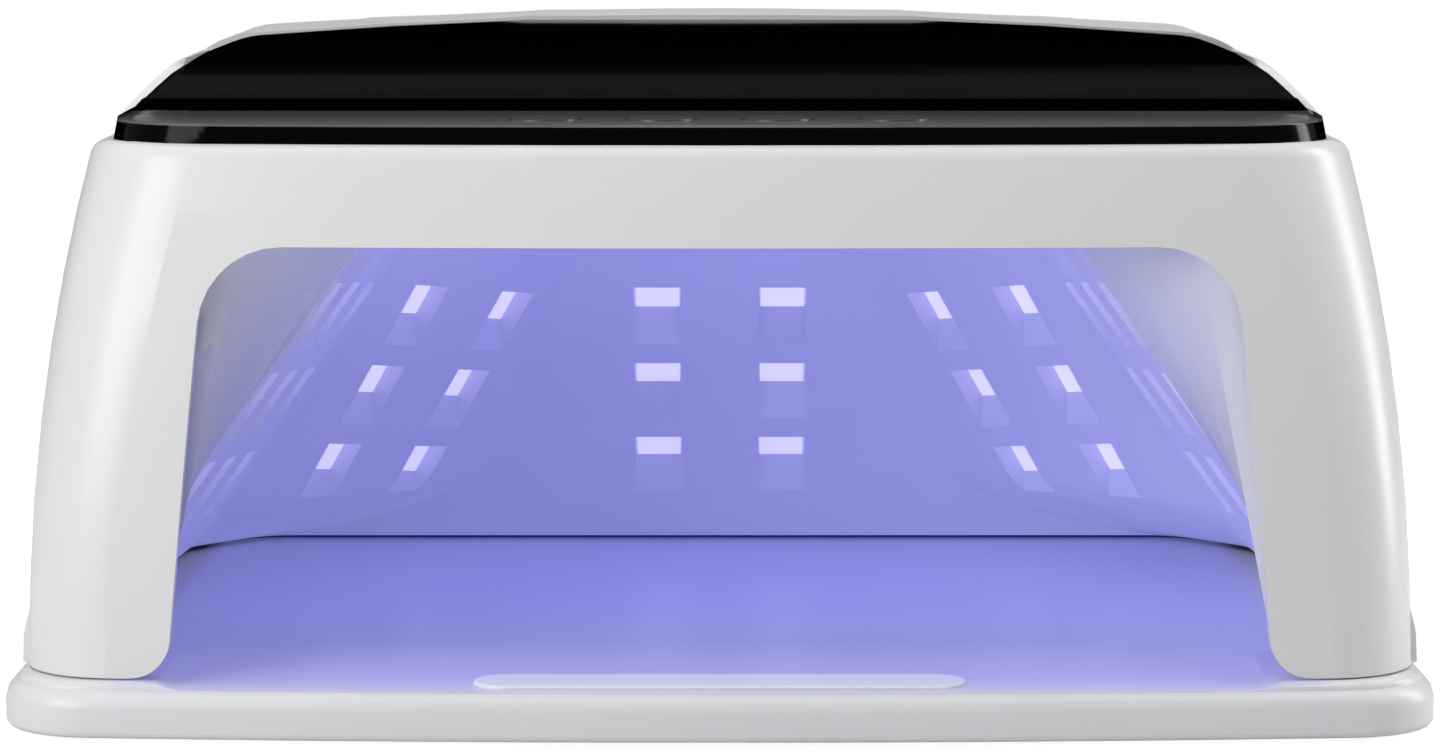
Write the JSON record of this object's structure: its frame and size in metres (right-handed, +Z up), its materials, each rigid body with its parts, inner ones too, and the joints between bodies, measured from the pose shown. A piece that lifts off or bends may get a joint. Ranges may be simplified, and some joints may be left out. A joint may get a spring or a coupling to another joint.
{
  "type": "led nail lamp",
  "caption": "Curing lamp for both hands: white housing with an arched mouth, light pockets in its reflector, a black cover with a key shelf, on a removable tray.",
  "frame": {"origin": "middle of the outline's underside, where the rubber feet stand", "axes": "+Z up, -Y out of the mouth towards the user, +X to the right seen from the front"},
  "size_m": [0.2434, 0.206, 0.1177],
  "materials": {
    "shell_white": "semi-gloss moulded plastic",
    "tray_white": "semi-gloss moulded plastic",
    "reflector_white": "satin moulded plastic, lit violet by the lights",
    "cover_black": "polished",
    "key_black": "fine matt",
    "rubber": "matt",
    "steel": "plated",
    "led_board": "white solder mask",
    "led_lens": "clear lens, lit violet",
    "circuit_board": "green solder mask",
    "inlet_black": "matt"
  },
  "bodies": {
    "tray": {"base_tray": "tray_white", "hand_guide_bar": "tray_white", "foot_1": "rubber", "foot_2": "rubber", "foot_3": "rubber", "foot_4": "rubber", "tray_magnet_1": "steel", "tray_magnet_2": "steel", "tray_magnet_3": "steel", "tray_magnet_4": "steel"},
    "lamp": {"housing_shell": "shell_white", "mouth_liner": "shell_white", "reflector": "reflector_white", "control_cover": "cover_black", "key_board": "circuit_board", "main_board": "circuit_board", "dc_inlet": "inlet_black", "led_board_rear": "led_board", "led_board_right_rear": "led_board", "led_board_left_rear": "led_board", "led_board_right": "led_board", "led_board_left": "led_board", "housing_magnet_1": "steel", "housing_magnet_2": "steel", "housing_magnet_3": "steel", "housing_magnet_4": "steel", "housing_screw_1": "steel", "housing_screw_2": "steel", "housing_screw_3": "steel", "housing_screw_4": "steel"},
    "key_1_button": {"key_1": "key_black"},
    "key_2_button": {"key_2": "key_black"},
    "key_3_button": {"key_3": "key_black"},
    "key_4_button": {"key_4": "key_black"}
  },
  "joints": [
    {"name": "lamp_lift", "type": "slide", "parent": "tray", "child": "lamp", "axis": [0, 0, 1], "range_m": [0, 0.05]},
    {"name": "key_1_press", "type": "slide", "parent": "lamp", "child": "key_1_button", "axis": [0, 0, -1], "range_m": [0, 0.0006], "stiffness_N_per_m": 400, "springref_m": -0.0004},
    {"name": "key_2_press", "type": "slide", "parent": "lamp", "child": "key_2_button", "axis": [0, 0, -1], "range_m": [0, 0.0006], "stiffness_N_per_m": 400, "springref_m": -0.0004},
    {"name": "key_3_press", "type": "slide", "parent": "lamp", "child": "key_3_button", "axis": [0, 0, -1], "range_m": [0, 0.0006], "stiffness_N_per_m": 400, "springref_m": -0.0004},
    {"name": "key_4_press", "type": "slide", "parent": "lamp", "child": "key_4_button", "axis": [0, 0, -1], "range_m": [0, 0.0006], "stiffness_N_per_m": 400, "springref_m": -0.0004}
  ]
}
